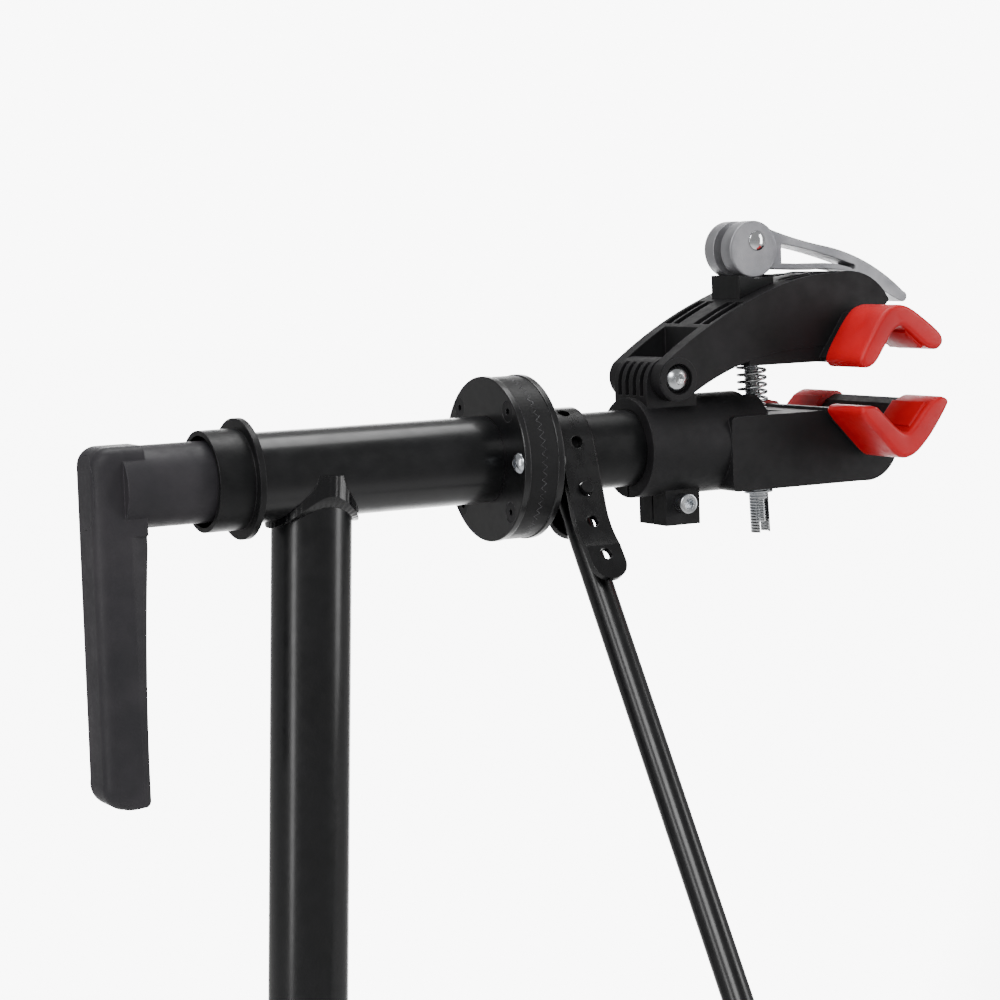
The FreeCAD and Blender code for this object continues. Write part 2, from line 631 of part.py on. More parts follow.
def flange_plate(label, outside, outward):
    """Steel plate with four countersunk and two plain screw holes."""
    direction = outward.negative()
    plate = cylinder(mm("flange_radius"), PLATE_THICK, V(outside, 0, 0), direction)
    plate = plate.makeFillet(0.6, [e for e in plate.Edges if e.BoundBox.XLength < 0.01])
    plate = plate.cut(cylinder(ROD_RUN, PLATE_THICK, V(outside, 0, 0), direction))
    for degrees in DARK_SCREWS:
        place = on_bolt_circle(outside, degrees)
        plate = plate.cut(cylinder(2.6, PLATE_THICK, place, direction))
        plate = plate.cut(Part.makeCone(5.1, 2.6, 2.6, place, direction))
    for degrees in BRIGHT_SCREWS:
        plate = plate.cut(cylinder(2.6, PLATE_THICK, on_bolt_circle(outside, degrees), direction))
    return solid_node(label, plate, ARM)


flange_plate("mast_flange_plate", FLANGE_LEFT, ALONG_ARM.negative())
flange_plate("clamp_flange_plate", FLANGE_RIGHT, ALONG_ARM)

SCREW_LENGTH = 8


def flange_screws(side, outside, outward):
    """Four black countersunk screws and two bright button screws of one flange."""
    direction = outward.negative()
    sunk, bright = [], []
    for degrees in DARK_SCREWS:
        place = on_bolt_circle(outside, degrees) + direction * 0.15
        screw = Part.makeCone(4.9, 2.45, 2.45, place, direction).fuse(
            cylinder(2.45, SCREW_LENGTH, place, direction)
        )
        sunk.append(screw.cut(hexagon(3, 2, place, direction)).removeSplitter())
    for degrees in BRIGHT_SCREWS:
        place = on_bolt_circle(outside, degrees) + outward * 0.05
        bright.append(button_screw(2.45, SCREW_LENGTH, 5, 2.8, 3, place, direction))
    solid_node(side + "_flange_sunk_screws", Part.makeCompound(sunk), ARM)
    solid_node(side + "_flange_button_screws", Part.makeCompound(bright), ARM)


flange_screws("mast", FLANGE_LEFT, ALONG_ARM.negative())
flange_screws("clamp", FLANGE_RIGHT, ALONG_ARM)


def coil(radius, wire, pitch, turns, base, direction):
    """A round-wire compression spring."""
    helix = Part.makeHelix(pitch, pitch * turns, radius)
    start = Part.Wire([Part.makeCircle(wire, V(radius, 0, 0), ACROSS)])
    spring = Part.Wire(helix).makePipeShell([start], True, True)
    spring.Placement = FreeCAD.Placement(base, FreeCAD.Rotation(UP, direction))
    return Part.makeCompound([spring])


turned("clamp_tube", ARM, [
    (FLANGE_RIGHT + 0.02, "tube_bore"), (mm("tube_right"), "tube_bore"),
    (mm("tube_right"), "tube_radius"), (FLANGE_RIGHT + 0.02, "tube_radius"),
])

# ================================================================ LOWER JAW
HINGE = (mm("hinge_along"), mm("hinge_above"))
LOWER_V = [(273.1, 13.15), (286.8, -0.85), (295.1, -9.45), (301.0, -11.05), (308.0, -8.65), (317.5, 0.35),
           (328.5, 15.35), (327.7, 17.95), (323.1, 19.55), (315.5, 16.35), (305.3, 4.75), (301.2, 1.55),
           (295.1, 5.35), (284.7, 15.35), (281.0, 16.85), (275.3, 16.85)]
UPPER_V = [(272.5, 40.75), (275.5, 36.05), (279.2, 35.85), (283.5, 38.15), (290.0, 47.35), (293.5, 52.95),
           (298.7, 56.15), (303.9, 53.15), (314.3, 44.35), (321.7, 42.45), (325.9, 46.35), (324.1, 51.75),
           (305.9, 64.85), (297.7, 66.95), (288.5, 63.95)]
bar_wall = mm("cap_wall")


def v_bar(body, outline):
    """The bar with a V notch that runs across the end of a jaw."""
    points = inset(outline, bar_wall)
    sketch = new_sketch(body, "XZ_Plane")
    draw_loop(sketch, points[0], points[1:])
    pad(body, sketch, "Sizes.bar_width", symmetric=True)


lower_jaw = new_body("lower_jaw", ARM)
COLLAR_START, COLLAR_END = 173, 244
collar_round = new_sketch(lower_jaw, "YZ_Plane", COLLAR_START)
draw_circle(collar_round, "collar_radius")
pad(lower_jaw, collar_round, COLLAR_END - COLLAR_START)
cheek = new_sketch(lower_jaw, "XZ_Plane")
draw_loop(cheek, (219.0, 10.5), [
    (219.0, -21.0), ((219.9, -23.1), (222.0, -24.0)), (299.0, -24.0), ((312.0, -21.4), (320.0, -12.5)), (313.0, -6.0),
    (293.0, -3.0), (277.0, 13.5), (222.0, 13.5), ((219.9, 12.6), (219.0, 10.5)),
])
pad(lower_jaw, cheek, "Sizes.jaw_width", symmetric=True)
v_bar(lower_jaw, LOWER_V)
KNUCKLE_HALF = 15
knuckle = new_sketch(lower_jaw, "XZ_Plane")
draw_loop(knuckle, (176, 10), [
    (204.9, 10), (204.9, 24), (200.4, 34), ((188.6, 44.7), (176.6, 36)), (176, 33),
])
pad(lower_jaw, knuckle, 2 * KNUCKLE_HALF, symmetric=True)
PINCH = (197, -28.5)
ears = new_sketch(lower_jaw, "XZ_Plane")
draw_box(ears, (187, -39.5), (207, -15))
pad(lower_jaw, ears, 25, symmetric=True)
bore = new_sketch(lower_jaw, "YZ_Plane", 170)
draw_circle(bore, "collar_bore")
pocket(lower_jaw, bore, mm("tube_right") + 0.5 - 170, flip=True)
split = new_sketch(lower_jaw, "XZ_Plane")
draw_box(split, (170, -41), (214, -17))
pocket(lower_jaw, split, 1.5, symmetric=True)
fins = new_sketch(lower_jaw, "YZ_Plane", 170)
for centre in (-10.1, -3.4, 3.4, 10.1):
    draw_box(fins, (centre - 1.8, 26), (centre + 1.8, 48))
pocket(lower_jaw, fins, 11.5, flip=True)
for name, (x, z), radius in (("hinge", HINGE, mm("hinge_hole")), ("pinch", PINCH, 3.05)):
    hole = new_sketch(lower_jaw, "XZ_Plane")
    draw_circle(hole, radius, (x, z))
    pocket(lower_jaw, hole, 80, symmetric=True)
spring_seat = new_sketch(lower_jaw, "XZ_Plane")
draw_box(spring_seat, (236.5, 12.9), (262, 30))
pocket(lower_jaw, spring_seat, 18.4, symmetric=True)
stud_slot = new_sketch(lower_jaw, "XY_Plane", -60)
draw_box(stud_slot, (240.5, -5.4), (259.2, 5.4))
pocket(lower_jaw, stud_slot, 100, flip=True)
for side in (-1, 1):
    well = new_sketch(lower_jaw, "XY_Plane", -30)
    low, high = sorted((side * 9.5, side * 23))
    draw_box(well, (226, low), (262, high))
    draw_box(well, (266, low), (284, high))
    pocket(lower_jaw, well, 30, flip=True)

# ================================================================ UPPER JAW
upper_jaw = new_body("upper_jaw", ARM)
cheeks = new_sketch(upper_jaw, "XZ_Plane")
draw_loop(cheeks, (180.8, 41.6), [
    ((211.7, 61.2), (241.4, 74.3)), ((264.2, 80.9), (287.2, 83.0)), ((306.2, 80.6), (319.2, 68.0)),
    (307.2, 55.0), (292.2, 57.0), (278.2, 46.0), (264.2, 45.8), ((230.2, 40.4), (195.7, 25.2)),
    ((178.4, 31.5), (180.8, 41.6)),
])
pad(upper_jaw, cheeks, "Sizes.upper_width", symmetric=True)
core = new_sketch(upper_jaw, "XZ_Plane")
draw_loop(core, (232.2, 50), [(232.2, 38.3), (277.2, 38.3), (292.2, 57), (232.2, 57)])
pad(upper_jaw, core, "Sizes.upper_width - 0.8", symmetric=True)
v_bar(upper_jaw, UPPER_V)
fork = new_sketch(upper_jaw, "XZ_Plane")
draw_box(fork, (160, 10), (207.2, 70))
pocket(upper_jaw, fork, 2 * KNUCKLE_HALF + 1.2, symmetric=True)
BOSS_RADIUS, BOSS_FACE = 10.6, 24.0
for side in (-1, 1):
    boss = new_sketch(upper_jaw, "XZ_Plane", -side * BOSS_FACE)
    draw_circle(boss, BOSS_RADIUS, HINGE)
    pad(upper_jaw, boss, BOSS_FACE - KNUCKLE_HALF - 0.6, flip=side < 0)
hinge_hole = new_sketch(upper_jaw, "XZ_Plane")
draw_circle(hinge_hole, "hinge_hole", HINGE)
pocket(upper_jaw, hinge_hole, 80, symmetric=True)
HEAD_RECESS = 3.2
for side in (-1, 1):
    recess = new_sketch(upper_jaw, "XZ_Plane", -side * BOSS_FACE)
    draw_circle(recess, 7.7, HINGE)
    pocket(upper_jaw, recess, HEAD_RECESS, flip=side > 0)
SADDLE = {"left": 234.0, "right": 255.0, "half": 12.4, "seat": 68.0}
seat = new_sketch(upper_jaw, "XZ_Plane")
draw_box(seat, (SADDLE["left"] - 0.2, SADDLE["seat"]), (SADDLE["right"] + 0.2, 90))
pocket(upper_jaw, seat, 2 * SADDLE["half"] + 0.4, symmetric=True)
jaw_slot = new_sketch(upper_jaw, "XY_Plane", 20)
draw_box(jaw_slot, (235.0, -4.7), (257.2, 4.7))
pocket(upper_jaw, jaw_slot, 80, flip=True)
for low, high in ((-20.6, -14.2), (-12.4, -6.4), (6.4, 12.4), (14.2, 20.6)):
    channel = new_sketch(upper_jaw, "XZ_Plane", -high)
    draw_loop(channel, (209.7, 51), [(231.8, 60.5), (231.8, 90), (209.7, 90)])
    draw_loop(channel, (260.2, 68), [(286.2, 70.5), (300.2, 90), (260.2, 90)])
    pocket(upper_jaw, channel, high - low, flip=True)

saddle = new_body("cam_saddle", ARM)
saddle_sketch = new_sketch(saddle, "XZ_Plane")
CAM_CLEAR, CUP_HALF = 0.1, 8.5
cam_throw = math.hypot(mm("pin_along") - mm("cam_along"), mm("pin_above") - mm("cam_above"))
cup_radius = mm("cam_radius") + cam_throw + CAM_CLEAR
cup_floor = mm("pin_above") - cup_radius
cup_rim = mm("pin_above") - math.sqrt(cup_radius ** 2 - CUP_HALF ** 2)
draw_loop(saddle_sketch, (SADDLE["left"], SADDLE["seat"] + 0.1), [
    (SADDLE["right"], SADDLE["seat"] + 0.1), (SADDLE["right"], cup_rim),
    (mm("pin_along") + CUP_HALF, cup_rim),
    ((mm("pin_along"), cup_floor), (mm("pin_along") - CUP_HALF, cup_rim)),
    (SADDLE["left"], cup_rim),
])
pad(saddle, saddle_sketch, 2 * SADDLE["half"], symmetric=True)
saddle_slot = new_sketch(saddle, "XY_Plane", 50)
draw_box(saddle_slot, (238.5, -4.6), (253.6, 4.6))
pocket(saddle, saddle_slot, 60, flip=True)

# ---------------------------------------------------------------- soft caps
for jaw_name, outline in (("upper", UPPER_V), ("lower", LOWER_V)):
    for side_name, side in (("front", -1), ("rear", 1)):
        cap = new_body("%s_cap_%s" % (jaw_name, side_name), ARM)
        shell = new_sketch(cap, "XZ_Plane", -side * mm("cap_start"))
        draw_loop(shell, outline[0], outline[1:])
        pad(cap, shell, "Sizes.cap_end - Sizes.cap_start", flip=side > 0)
        hollow = new_sketch(cap, "XZ_Plane", -side * mm("cap_start"))
        inner = inset(outline, bar_wall - 0.06)
        draw_loop(hollow, inner[0], inner[1:])
        pocket(cap, hollow, mm("bar_width") / 2 + 0.1 - mm("cap_start"), flip=side < 0)

# ---------------------------------------------------------------- jaw fasteners
HEAD_SEAT = BOSS_FACE - HEAD_RECESS
solid_node("jaw_hinge_bolt",
           button_screw(4, 2 * HEAD_SEAT + 2, 7, 4.2, 5, V(HINGE[0], -HEAD_SEAT - 0.05, HINGE[1]),
                        ACROSS), ARM)
pinch_head = cylinder(5, 6, V(PINCH[0], -12.6, PINCH[1]), ACROSS.negative())
pinch_head = pinch_head.makeFillet(0.8, [e for e in pinch_head.Edges if e.CenterOfMass.y < -18])
solid_node("pinch_screw",
           pinch_head.fuse(cylinder(3, 31, V(PINCH[0], -12.6, PINCH[1]), ACROSS))
           .cut(hexagon(5, 4, V(PINCH[0], -18.6, PINCH[1]), ACROSS)).removeSplitter(), ARM)
solid_node("jaw_nuts", Part.makeCompound([
    hex_nut(13, 3.0, 4.03, V(HINGE[0], HEAD_SEAT + 0.1, HINGE[1]), ACROSS),
    hex_nut(10, 5, 3.03, V(PINCH[0], 12.6, PINCH[1]), ACROSS),
]), ARM)

# ---------------------------------------------------------------- quick-release stud and lever
SLEEVE = {"radius": 5, "bore": 4.06, "low": -22.5, "high": 27, "slot": -14}
sleeve = cylinder(SLEEVE["radius"], SLEEVE["high"] - SLEEVE["low"], V(0, 0, SLEEVE["low"]), UP)
sleeve = sleeve.fuse(cylinder(7.4, 2.6, V(0, 0, -1.9), UP))
sleeve = sleeve.cut(cylinder(SLEEVE["bore"], 60, V(0, 0, SLEEVE["low"] - 1), UP))
sleeve = sleeve.cut(block((-2.9, -9, SLEEVE["low"] - 1), (2.9, 9, SLEEVE["slot"] + 9)))
solid_node("stud_sleeve_nut", sleeve.removeSplitter(), STUD)
solid_node("stud_washer",
           cylinder(6.6, 1.2, V(0, 0, 40.4), UP).cut(cylinder(4.1, 2, V(0, 0, 40), UP)), STUD)
STUD_TAIL, FLAT_START, FLAT_HALF, EYE_BORE = 17, 20.5, 3, 4.5
stud = cylinder(mm("bolt_radius"), stud_reach - FLAT_START + STUD_TAIL, V(0, 0, -STUD_TAIL), UP)
eye = cylinder(7.2, 2 * FLAT_HALF, V(0, -FLAT_HALF, stud_reach), ACROSS)
neck = block((-4, -FLAT_HALF, stud_reach - FLAT_START - 2), (4, FLAT_HALF, stud_reach)).common(
    cylinder(mm("bolt_radius"), FLAT_START + 3, V(0, 0, stud_reach - FLAT_START - 2.5), UP)
)
stud = stud.fuse(eye).fuse(neck).cut(cylinder(EYE_BORE, 20, V(0, -10, stud_reach), ACROSS))
solid_node("clamp_stud", stud.removeSplitter(), STUD)
SPRING_RADIUS, SPRING_WIRE, SPRING_PITCH = 7.05, 0.78, 3.65
SPRING_LOW, SPRING_HIGH = 42.6, 63.1
solid_node("jaw_spring",
           coil(SPRING_RADIUS, SPRING_WIRE, SPRING_PITCH, (SPRING_HIGH - SPRING_LOW) / SPRING_PITCH,
                V(0, 0, SPRING_LOW), UP), STUD)
PIN = V(mm("pin_along"), 0, mm("pin_above"))
cam_pin = cylinder(4, 25, PIN + ACROSS * -12.5, ACROSS)
for side in (-1, 1):
    out = ACROSS * side
    base = PIN + out * 12.2
    ball = (25 + 2.56) / 3.2
    cam_pin = cam_pin.fuse(
        Part.makeSphere(ball, base + out * (1.6 - ball)).common(cylinder(5, 3, base, out))
    )
solid_node("cam_pin", cam_pin.removeSplitter(), ARM)

cam_lever = new_body("cam_lever", ARM)
discs = new_sketch(cam_lever, "XZ_Plane")
draw_circle(discs, "cam_radius", (mm("cam_along"), mm("cam_above")))
pad(cam_lever, discs, 24, symmetric=True)
arm_sketch = new_sketch(cam_lever, "XZ_Plane")
draw_loop(arm_sketch, (250, 108.6), [
    ((272.7, 100.9), (290.1, 96.7)), ((318.5, 86.6), (340.4, 71.4)), ((342.2, 67.6), (338.2, 66.6)),
    ((327, 72.6), (318.5, 78.9)), ((300, 84.0), (281, 84.6)), (252, 86.2),
])
pad(cam_lever, arm_sketch, 16, symmetric=True)
window = new_sketch(cam_lever, "XZ_Plane")
draw_loop(window, (263.4, 98.6), [
    ((286, 93.4), (308.6, 86.5)), ((309.4, 84.9), (307.4, 84.6)), ((300, 86.6), (281, 87.7)),
    (263.4, 88.7),
])
pocket(cam_lever, window, 60, symmetric=True)
lever_gap = new_sketch(cam_lever, "XZ_Plane")
draw_box(lever_gap, (225, 70), (255.5, 115))
pocket(cam_lever, lever_gap, 6.8, symmetric=True)
pin_hole = new_sketch(cam_lever, "XZ_Plane")
draw_circle(pin_hole, 4.05, (mm("pin_along"), mm("pin_above")))
pocket(cam_lever, pin_hole, 60, symmetric=True)
round_edges(cam_lever, 0.8, lambda e: abs(abs(e.CenterOfMass.y) - 12) < 0.01 and e.Length > 15)

# ================================================================ STABILISER ROD AND STRAP
ROD_TOP, ROD_LOW = -23.5, -380
rod_tube = turned("stabiliser_rod", ROD, [
    (mm("rod_bore"), ROD_LOW), (mm("rod_radius"), ROD_LOW), (mm("rod_radius"), ROD_TOP),
    (mm("rod_bore"), ROD_TOP),
], axis="V_Axis")
INNER_TOP, INNER_LOW = -120, -400
turned("inner_rod", ROD, [
    (4.8, INNER_LOW), (mm("inner_rod_radius"), INNER_LOW), (mm("inner_rod_radius"), INNER_TOP),
    (4.8, INNER_TOP),
], axis="V_Axis")
turned("rod_end_cap", ROD, [
    (0, -416), (5, -416), (7.6, -413), (7.6, -401), (6.4, INNER_LOW - 0.1), (4.75, INNER_LOW - 0.1),
    (4.75, INNER_LOW + 14), (0, INNER_LOW + 14),
], axis="V_Axis")
turned("rod_lock_sleeve", ROD, [
    (6.06, -398), (9.2, -398), (10.2, -395), (10.2, -366), (8.6, -360), (7.04, -360),
    (7.04, ROD_LOW - 0.1), (6.06, ROD_LOW - 0.1),
], axis="V_Axis")
PEG_DEPTH, PEG_RADIUS, PEG_NEAR, PEG_FAR = -28.0, 3.2, -18.2, 11.6
peg_hole = new_sketch(rod_tube, "XZ_Plane")
draw_circle(peg_hole, PEG_RADIUS + 0.05, (0, PEG_DEPTH))
pocket(rod_tube, peg_hole, 40, symmetric=True)
plug = cylinder(6.05, 26, V(0, 0, ROD_TOP - 26), UP).fuse(
    Part.makeSphere(mm("rod_radius"), V(0, 0, ROD_TOP - 3.6)).common(
        cylinder(mm("rod_radius"), 5, V(0, 0, ROD_TOP + 0.02), UP)
    )
)
plug = plug.fuse(cylinder(5, 2, V(0, 0, ROD_TOP - 1), UP))
peg = cylinder(PEG_RADIUS, PEG_FAR - PEG_NEAR, V(0, PEG_NEAR, PEG_DEPTH), ACROSS)
solid_node("rod_top_plug", plug.fuse(peg).removeSplitter(), ROD)

# the rubber strap wraps the clamp tube, buttons over both ends of the peg and ends in a free tongue
CLEAR = 0.3
BEND = 8
inner_r = mm("tube_radius") + CLEAR
outer_r = inner_r + mm("strap_thick")
leg_in = mm("rod_radius") + CLEAR
leg_out = leg_in + mm("strap_thick")
bend_in, bend_out = BEND + mm("strap_thick") / 2, BEND - mm("strap_thick") / 2
bend_y = leg_in + bend_in
bend_z = -math.sqrt((inner_r + bend_in) ** 2 - bend_y ** 2)
toward = (bend_y / (inner_r + bend_in), bend_z / (inner_r + bend_in))
half_turn = math.atan2(-toward[1], toward[0]) / 2
TAIL = -42
LEAVE = math.radians(12)
NEAR_CURVE = [(-14.6, -34), (-12.6, -46), (-14.6, -58), (-15.6, -76)]


def bend_middle(radius):
    return (bend_y - radius * math.cos(half_turn), bend_z + radius * math.sin(half_turn))


def on_wrap(radius):
    return (radius * toward[0], radius * toward[1])


def leaving(radius):
    """Where the near leg leaves the wrap in a straight line."""
    return (-radius * math.cos(LEAVE), -radius * math.sin(LEAVE))


strap = new_body("rod_strap", ROD)
strap_sketch = new_sketch(strap, "YZ_Plane")
near_out = NEAR_CURVE
near_in = [(y + mm("strap_thick"), z) for y, z in NEAR_CURVE]
draw_loop(strap_sketch, near_out[3], [
    near_out[2], (near_out[1], near_out[0]), leaving(outer_r),
    ((0, outer_r), on_wrap(outer_r)), (bend_middle(bend_out), (leg_out, bend_z)),
    (leg_out, TAIL), (leg_in, TAIL), (leg_in, bend_z), (bend_middle(bend_in), on_wrap(inner_r)),
    ((0, inner_r), leaving(inner_r)), near_in[0], (near_in[1], near_in[2]), near_in[3],
])
pad(strap, strap_sketch, "Sizes.strap_width", symmetric=True)
HOLE_RADIUS = 3.0
near_holes = new_sketch(strap, "XZ_Plane")
for z in (-44, -62.5):
    draw_circle(near_holes, HOLE_RADIUS, (0, z))
pocket(strap, near_holes, 40, flip=True)
peg_holes = new_sketch(strap, "XZ_Plane")
draw_circle(peg_holes, PEG_RADIUS + 0.3, (0, PEG_DEPTH))
pocket(strap, peg_holes, 60, symmetric=True)
WRAP_HOLES = (-37, 10, 57, 104)
for degrees in WRAP_HOLES:
    hole = new_sketch(strap, "XZ_Plane")
    hole.AttachmentOffset = FreeCAD.Placement(V(), FreeCAD.Rotation(ALONG_ARM, degrees - 90))
    draw_circle(hole, HOLE_RADIUS)
    pocket(strap, hole, 30, flip=True)
round_edges(strap, 9.3, lambda e: e.BoundBox.YLength < mm("strap_thick") + 0.1
            and e.BoundBox.ZLength < 0.01 and e.BoundBox.XLength < 0.01)

# ---------------------------------------------------------------- checks and export
doc.recompute()
faulty = [item.Label for item in doc.Objects if "Invalid" in item.State or "Error" in item.State]
if faulty:
    raise ValueError("features that failed: %s" % faulty)
os.makedirs("parts", exist_ok=True)
for node in nodes:
    if node.Shape.isNull() or not node.Shape.isValid() or not node.Shape.Solids:
        raise ValueError("bad shape: " + node.Label)
    node.Shape.exportStep("parts/%s.step" % node.Label)
print("nodes:", len(nodes))
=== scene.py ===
# %% [markdown]
# # A bicycle repair stand, surface by surface
# The CAD model already gives every piece its place and its body. Here each piece gets the finish of the
# real one, and a few pieces are swapped for finer meshes: the soft red jaw caps, whose rounded corners
# and raised pads catch the eye first, and the threaded clamp stud.
# Work starts by loading the frame.

# %% Load the frame
import json
import math

import bmesh
import bpy
from mathutils import Matrix, Vector


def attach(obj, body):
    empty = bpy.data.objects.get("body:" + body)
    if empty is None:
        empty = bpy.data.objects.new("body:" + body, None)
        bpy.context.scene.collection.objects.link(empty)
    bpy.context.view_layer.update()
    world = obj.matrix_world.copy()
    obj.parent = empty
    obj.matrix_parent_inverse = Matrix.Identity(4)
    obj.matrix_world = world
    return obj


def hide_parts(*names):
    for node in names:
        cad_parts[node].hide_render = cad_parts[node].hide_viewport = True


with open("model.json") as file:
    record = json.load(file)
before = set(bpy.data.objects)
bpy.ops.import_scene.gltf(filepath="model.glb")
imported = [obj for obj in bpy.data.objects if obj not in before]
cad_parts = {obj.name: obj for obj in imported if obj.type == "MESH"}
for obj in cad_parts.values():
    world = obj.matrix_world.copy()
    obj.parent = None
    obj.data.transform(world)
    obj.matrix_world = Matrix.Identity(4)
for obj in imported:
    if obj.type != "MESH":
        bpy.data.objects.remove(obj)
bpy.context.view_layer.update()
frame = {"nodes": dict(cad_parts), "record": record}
nodes = frame["nodes"]
record = frame["record"]
MM = 0.001
slot_of = {part["node"]: part["material_slot"] for part in record["subparts"]}
body_of = {node: body for body, members in record["behaviour"]["bodies"].items() for node in members}

# %% [markdown]
# ## Colour and node helpers
# Paint and plastic colours are noted as sRGB hex, the way a colour card gives them. A render works in
# linear light, so one function converts them. Another adds a shader node with its settings and links,
# which keeps every material below down to a few readable lines. Texture coordinates are each object's
# own metres, so a grain written in millimetres stays true on every piece and moves with it.


# %% Colour and node helpers
def linear(hex_colour):
    """An sRGB hex colour as linear RGBA."""
    parts = [int(hex_colour[i:i + 2], 16) / 255 for i in (1, 3, 5)]
    return [c / 12.92 if c <= 0.04045 else ((c + 0.055) / 1.055) ** 2.4 for c in parts] + [1.0]


def add_node(tree, kind, settings=None, inputs=None):
    """One shader node: settings are its properties, inputs are values or sockets to link from."""
    node = tree.nodes.new(kind)
    for name, value in (settings or {}).items():
        setattr(node, name, value)
    for name, value in (inputs or {}).items():
        if isinstance(value, bpy.types.NodeSocket):
            tree.links.new(value, node.inputs[name])
        else:
            node.inputs[name].default_value = value
    return node


def blank_material(name):
    """A new node material and the parts of it that every recipe needs."""
    material = bpy.data.materials.new(name)
    material.use_nodes = True
    tree = material.node_tree
    place = add_node(tree, "ShaderNodeTexCoord").outputs["Object"]
    return material, tree, tree.nodes["Principled BSDF"], place


def noise(tree, place, size_mm, detail=2.0, roughness=0.5):
    """Soft random variation whose features are about size_mm across."""
    inputs = {"Vector": place, "Scale": 1 / (size_mm * MM), "Detail": detail, "Roughness": roughness}
    return add_node(tree, "ShaderNodeTexNoise", inputs=inputs).outputs["Fac"]


def remap(tree, value, low, high, start=0.35, end=0.65):
    """Spreads a value that mostly lies between start and end over low to high."""
    inputs = {"Value": value, "From Min": start, "From Max": end, "To Min": low, "To Max": high}
    return add_node(tree, "ShaderNodeMapRange", inputs=inputs).outputs["Result"]


def mix_colours(tree, factor, first, second):
    """A colour between two; each is linear RGBA or a socket."""
    node = add_node(tree, "ShaderNodeMix", {"data_type": "RGBA"})
    for socket, value in ((node.inputs[0], factor), (node.inputs[6], first), (node.inputs[7], second)):
        if isinstance(value, bpy.types.NodeSocket):
            tree.links.new(value, socket)
        else:
            socket.default_value = value
    return node.outputs[2]


def math_node(tree, operation, first, second=0.0):
    """One arithmetic step on two values or sockets."""
    node = add_node(tree, "ShaderNodeMath", {"operation": operation})
    for socket, value in zip(node.inputs, (first, second)):
        if isinstance(value, bpy.types.NodeSocket):
            tree.links.new(value, socket)
        else:
            socket.default_value = value
    return node.outputs[0]


def relief(tree, height, rise_mm, normal):
    """Raises the surface by a height pattern; rise_mm is its real depth."""
    inputs = {"Height": height, "Distance": rise_mm * MM, "Strength": 1.0, "Normal": normal}
    return add_node(tree, "ShaderNodeBump", inputs=inputs).outputs["Normal"]


# %% [markdown]
# ## One recipe for every finish
# Paint, plastic, rubber and plated steel differ in their numbers, but all show the same kinds of life.
# There is broad mottling of tone, smears that change the gloss, a fine grain that breaks highlights up,
# corners with a small radius, and corners rubbed paler by hands and tools. Sharp CAD edges look false
# because a real edge always carries a thin highlight, so the recipe rounds normals at the edges and
# finds the rubbed places from the same rounding.


# %% Surface recipe
MOTTLE_MM, MOTTLE_DETAIL = 24, 4
SMEAR_MM, SMEAR_DETAIL, SMEAR_ROUGHNESS = 7, 5, 0.6
GRAIN_DETAIL = 1.5
EDGE_SAMPLES = 6
# How far the rounded normal has to lean before an edge counts as rubbed, from fully to not at all.
RUBBED_FROM, RUBBED_TO = 0.80, 0.995
PATCHES_MM, PATCHES_DETAIL, PATCHES_LEAST = 3.0, 5, 0.15


def surface(name, tones, shine, grain, edge_mm=0.45, worn=None, wear=0.5, fixed=None, extra=None):
    """A finish: tones are two hex colours, shine two roughnesses, grain a list of (size, depth) in mm."""
    material, tree, shader, place = blank_material(name)
    mottle = noise(tree, place, MOTTLE_MM, MOTTLE_DETAIL)
    colour = mix_colours(tree, remap(tree, mottle, 0, 1), linear(tones[0]), linear(tones[1]))
    rounded = add_node(tree, "ShaderNodeBevel", {"samples": EDGE_SAMPLES}, {"Radius": edge_mm * MM})
    if worn:
        flat = add_node(tree, "ShaderNodeNewGeometry").outputs["Normal"]
        facing = add_node(tree, "ShaderNodeVectorMath", {"operation": "DOT_PRODUCT"},
                          {0: flat, 1: rounded.outputs["Normal"]}).outputs["Value"]
        edge = remap(tree, facing, wear, 0, start=RUBBED_FROM, end=RUBBED_TO)
        patches = remap(tree, noise(tree, place, PATCHES_MM, PATCHES_DETAIL), PATCHES_LEAST, 1)
        rubbed = math_node(tree, "MULTIPLY", edge, patches)
        colour = mix_colours(tree, rubbed, colour, linear(worn))
    tree.links.new(colour, shader.inputs["Base Color"])
    smear = noise(tree, place, SMEAR_MM, SMEAR_DETAIL, SMEAR_ROUGHNESS)
    tree.links.new(remap(tree, smear, shine[0], shine[1]), shader.inputs["Roughness"])
    normal = rounded.outputs["Normal"]
    for size_mm, depth_mm in grain:
        normal = relief(tree, noise(tree, place, size_mm, GRAIN_DETAIL), depth_mm, normal)
    if extra:
        normal = extra(tree, place, normal)
    tree.links.new(normal, shader.inputs["Normal"])
    for socket, value in (fixed or {}).items():
        shader.inputs[socket].default_value = value
    return material


DARK_SPECULAR = 0.22


def dark(more=None):
    """Settings for black finishes: a low specular level keeps them deep in a bright room."""
    return {"Specular IOR Level": DARK_SPECULAR, **(more or {})}


def along(tree, place, direction):
    """Distance in metres along a fixed direction of the piece."""
    return add_node(tree, "ShaderNodeVectorMath", {"operation": "DOT_PRODUCT"},
                    {0: place, 1: direction}).outputs["Value"]


def ridges(direction, pitch_mm, depth_mm):
    """A relief of even ridges across a direction, such as the turns of a thread."""
    def add(tree, place, normal):
        turns = math_node(tree, "MULTIPLY", along(tree, place, direction), math.tau / (pitch_mm * MM))
        return relief(tree, math_node(tree, "SINE", turns), depth_mm / 2, normal)
    return add


LINE_STRETCH, LINE_DETAIL = 0.97, 3


